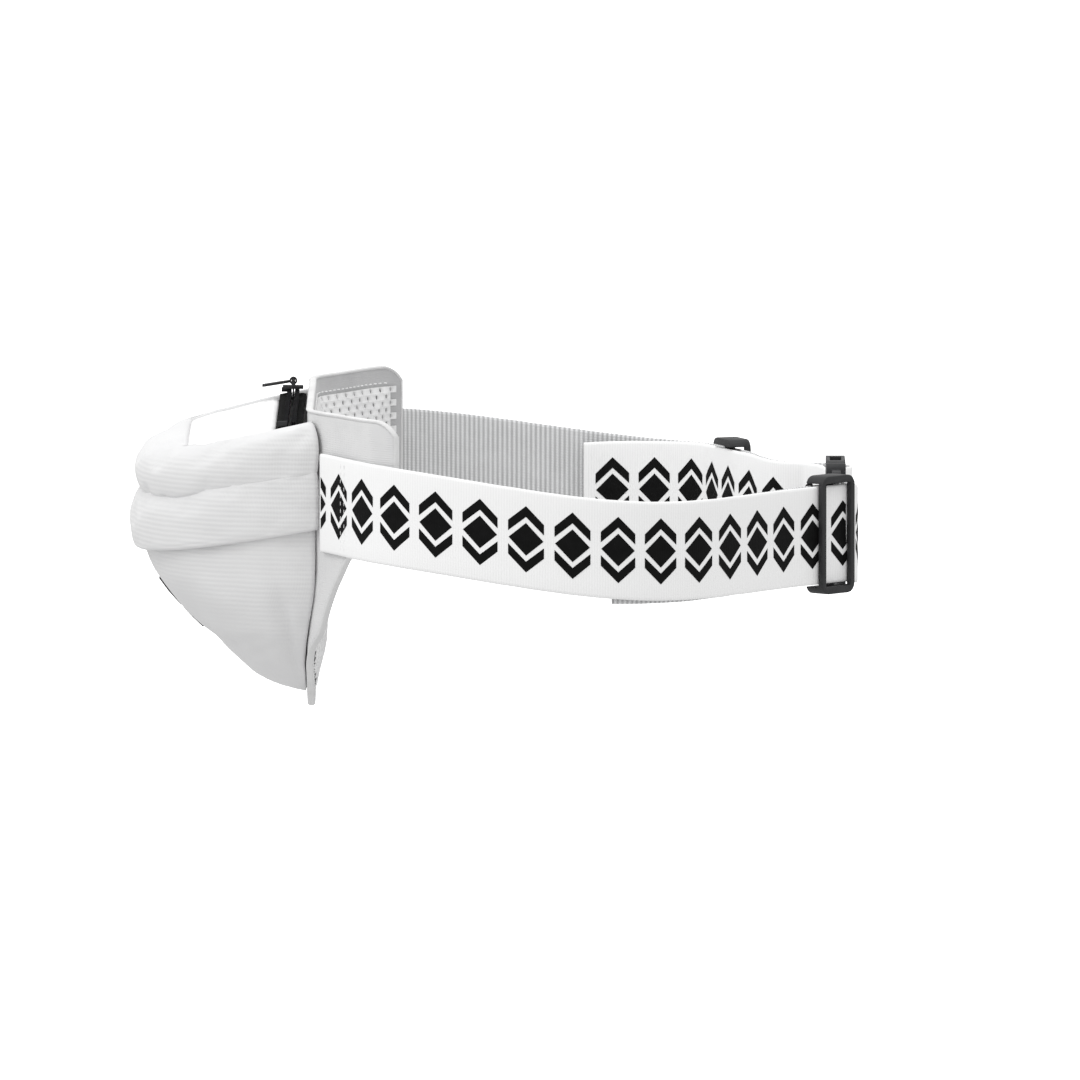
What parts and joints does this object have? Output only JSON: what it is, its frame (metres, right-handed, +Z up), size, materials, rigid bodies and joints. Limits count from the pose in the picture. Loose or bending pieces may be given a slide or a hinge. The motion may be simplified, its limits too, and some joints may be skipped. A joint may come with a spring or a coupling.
{
  "type": "waist bag",
  "caption": "Worn waist bag: wedge-shaped zip pouch on a padded, winged back panel, with an adjustable webbing belt and a side-release buckle.",
  "frame": {"origin": "centre of the waist loop, level with the middle of the belt at the wearer's back", "axes": "+Z up, -X towards the front of the pouch, +X towards the buckle at the wearer's back, -Y towards the wearer's left"},
  "size_m": [0.295, 0.3098, 0.1318],
  "materials": {
    "white_fabric": "matt white padded fabric with fine horizontal ribs on the pouch",
    "spacer_mesh": "matt pale grey spacer mesh with staggered oval holes",
    "foam": "foam core, hidden between the fabric layers",
    "webbing": "40 mm woven webbing: white printed outer face with a repeated plain black motif, ribbed grey inner face",
    "charcoal_plastic": "moulded charcoal plastic, satin",
    "black_zip": "black woven zip tape and coil",
    "black_badge": "thin black moulded badge with no lettering"
  },
  "bodies": {
    "bag": {"back_shell": "white_fabric", "back_foam": "foam", "inner_border": "white_fabric", "mesh_pad": "spacer_mesh", "edge_binding": "white_fabric", "pouch_lower": "white_fabric", "pouch_band": "white_fabric", "pouch_top": "white_fabric", "badge_upper": "black_badge", "badge_lower": "black_badge", "zip_tape_rear": "black_zip", "zip_coil_rear": "black_zip", "strap_near": "webbing", "strap_far": "webbing", "bartack_near": "white_fabric", "bartack_far": "white_fabric", "buckle_socket": "charcoal_plastic"},
    "lid": {"lid": "white_fabric", "zip_tape_front": "black_zip", "zip_coil_front": "black_zip", "zip_stop_near": "charcoal_plastic", "zip_stop_far": "charcoal_plastic"},
    "slider": {"zip_slider": "charcoal_plastic"},
    "puller": {"pull_tab": "charcoal_plastic"},
    "plug": {"buckle_plug": "charcoal_plastic"},
    "prong_top": {"prong_upper": "charcoal_plastic"},
    "prong_bottom": {"prong_lower": "charcoal_plastic"},
    "glide_near": {"tri_glide_near": "charcoal_plastic"},
    "glide_far": {"tri_glide_far": "charcoal_plastic"}
  },
  "joints": [
    {"name": "lid_fold", "type": "hinge", "parent": "bag", "child": "lid", "pos_m": [-0.1582, 0, 0.03396], "axis": [0, -1, 0], "range_deg": [0, 65]},
    {"name": "zip_slide", "type": "slide", "parent": "lid", "child": "slider", "axis": [0, 1, 0], "range_m": [-0.149, 0]},
    {"name": "pull_flip", "type": "hinge", "parent": "slider", "child": "puller", "pos_m": [-0.1185, 0.0746, 0.0503], "axis": [0, 1, 0], "range_deg": [0, 100]},
    {"name": "buckle_release", "type": "slide", "parent": "bag", "child": "plug", "axis": [0, -1, 0], "range_m": [0, 0.035], "deforming": ["strap_near"]},
    {"name": "prong_top_squeeze", "type": "hinge", "parent": "plug", "child": "prong_top", "pos_m": [0.1035, -0.0108, 0.013], "axis": [-1, 0, 0], "range_deg": [0, 8], "stiffness_Nm_per_rad": 0.8},
    {"name": "prong_bottom_squeeze", "type": "hinge", "parent": "plug", "child": "prong_bottom", "pos_m": [0.1035, -0.0108, -0.017], "axis": [1, 0, 0], "range_deg": [0, 8], "stiffness_Nm_per_rad": 0.8},
    {"name": "glide_near_slide", "type": "slide", "parent": "plug", "child": "glide_near", "axis": [0.6625, 0.7491, 0], "range_m": [-0.014, 0]},
    {"name": "glide_far_slide", "type": "slide", "parent": "bag", "child": "glide_far", "axis": [0.36, -0.933, 0], "range_m": [-0.004, 0.008]}
  ]
}
